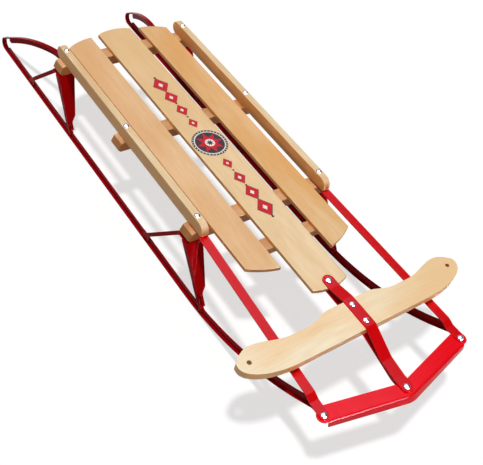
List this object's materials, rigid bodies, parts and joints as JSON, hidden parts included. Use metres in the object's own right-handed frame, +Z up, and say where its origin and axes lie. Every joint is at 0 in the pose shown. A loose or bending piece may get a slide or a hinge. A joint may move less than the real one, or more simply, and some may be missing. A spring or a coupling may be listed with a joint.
{
  "type": "runner sled",
  "caption": "Low steerable sled with a slatted wooden deck on spring steel runners, steered by a pivoting wooden crossbar.",
  "frame": {"origin": "on the ground under the middle of the sled's overall length and width", "axes": "+X forward to the bumper, +Y to the rider's left, +Z up"},
  "size_m": [1.3706, 0.556, 0.1872],
  "materials": {
    "wood": "clear varnish over pale hardwood",
    "red_enamel": "glossy red enamel",
    "bright_steel": "bright zinc plated"
  },
  "bodies": {
    "sled": {"beam_front": "wood", "beam_middle": "wood", "beam_rear": "wood", "brace_foot_rivet_front_left": "red_enamel", "brace_foot_rivet_front_right": "red_enamel", "brace_foot_rivet_rear_left": "red_enamel", "brace_foot_rivet_rear_right": "red_enamel", "brace_front_left": "red_enamel", "brace_front_right": "red_enamel", "brace_rear_left": "red_enamel", "brace_rear_right": "red_enamel", "brace_rivet_front_left": "red_enamel", "brace_rivet_front_right": "red_enamel", "brace_rivet_rear_left": "red_enamel", "brace_rivet_rear_right": "red_enamel", "cleat_front": "wood", "loop_screw_left": "bright_steel", "loop_screw_right": "bright_steel", "pivot_rivet": "bright_steel", "rail_bolt_front_left": "bright_steel", "rail_bolt_front_right": "bright_steel", "rail_bolt_middle_left": "bright_steel", "rail_bolt_middle_right": "bright_steel", "rail_bolt_rear_left": "bright_steel", "rail_bolt_rear_right": "bright_steel", "rail_left": "wood", "rail_right": "wood", "runner_left": "red_enamel", "runner_right": "red_enamel", "slat_centre": "wood", "slat_left": "wood", "slat_right": "wood", "standard_front_left": "red_enamel", "standard_front_right": "red_enamel", "standard_rear_left": "red_enamel", "standard_rear_right": "red_enamel", "standard_rivet_front_left": "red_enamel", "standard_rivet_front_right": "red_enamel", "standard_rivet_rear_left": "red_enamel", "standard_rivet_rear_right": "red_enamel"},
    "steering": {"bar_rivet_front": "bright_steel", "bar_rivet_rear": "bright_steel", "steering_bar": "wood", "strap_lower": "red_enamel", "strap_upper": "red_enamel"},
    "bumper": {"bumper": "red_enamel", "bumper_rivet_centre": "bright_steel", "bumper_rivet_left": "bright_steel", "bumper_rivet_right": "bright_steel"},
    "strut_left": {"strut_left": "red_enamel"},
    "strut_right": {"strut_right": "red_enamel"},
    "runner_front_left": {"runner_front_left": "red_enamel"},
    "runner_front_right": {"runner_front_right": "red_enamel"}
  },
  "joints": [
    {"name": "steering_pivot", "type": "hinge", "parent": "sled", "child": "steering", "pos_m": [0.4136, 0, 0.1615], "axis": [0, 0, 1], "range_deg": [-10, 10]},
    {"name": "bumper_pivot", "type": "hinge", "parent": "steering", "child": "bumper", "pos_m": [0.6615, 0, 0.131], "axis": [0, 0, 1], "range_deg": [-9.6, 9.6]},
    {"name": "strut_left_pivot", "type": "hinge", "parent": "sled", "child": "strut_left", "pos_m": [0.175, 0.1585, 0.15405], "axis": [0, 0, 1], "range_deg": [-5.6, 5.6]},
    {"name": "strut_right_pivot", "type": "hinge", "parent": "sled", "child": "strut_right", "pos_m": [0.175, -0.1585, 0.15405], "axis": [0, 0, 1], "range_deg": [-5.6, 5.6]},
    {"name": "runner_left_flex", "type": "hinge", "parent": "sled", "child": "runner_front_left", "pos_m": [0.296, 0.1825, 0.01], "axis": [0, 0, 1], "range_deg": [-7.5, 7.5]},
    {"name": "runner_right_flex", "type": "hinge", "parent": "sled", "child": "runner_front_right", "pos_m": [0.296, -0.1825, 0.01], "axis": [0, 0, 1], "range_deg": [-7.5, 7.5]}
  ],
  "couplings": [
    {"joint": "bumper_pivot", "follows": "steering_pivot", "ratio": -0.9423},
    {"joint": "strut_left_pivot", "follows": "steering_pivot", "ratio": 0.5388},
    {"joint": "runner_left_flex", "follows": "steering_pivot", "ratio": 0.7329},
    {"joint": "strut_right_pivot", "follows": "steering_pivot", "ratio": 0.5388},
    {"joint": "runner_right_flex", "follows": "steering_pivot", "ratio": 0.7329}
  ]
}
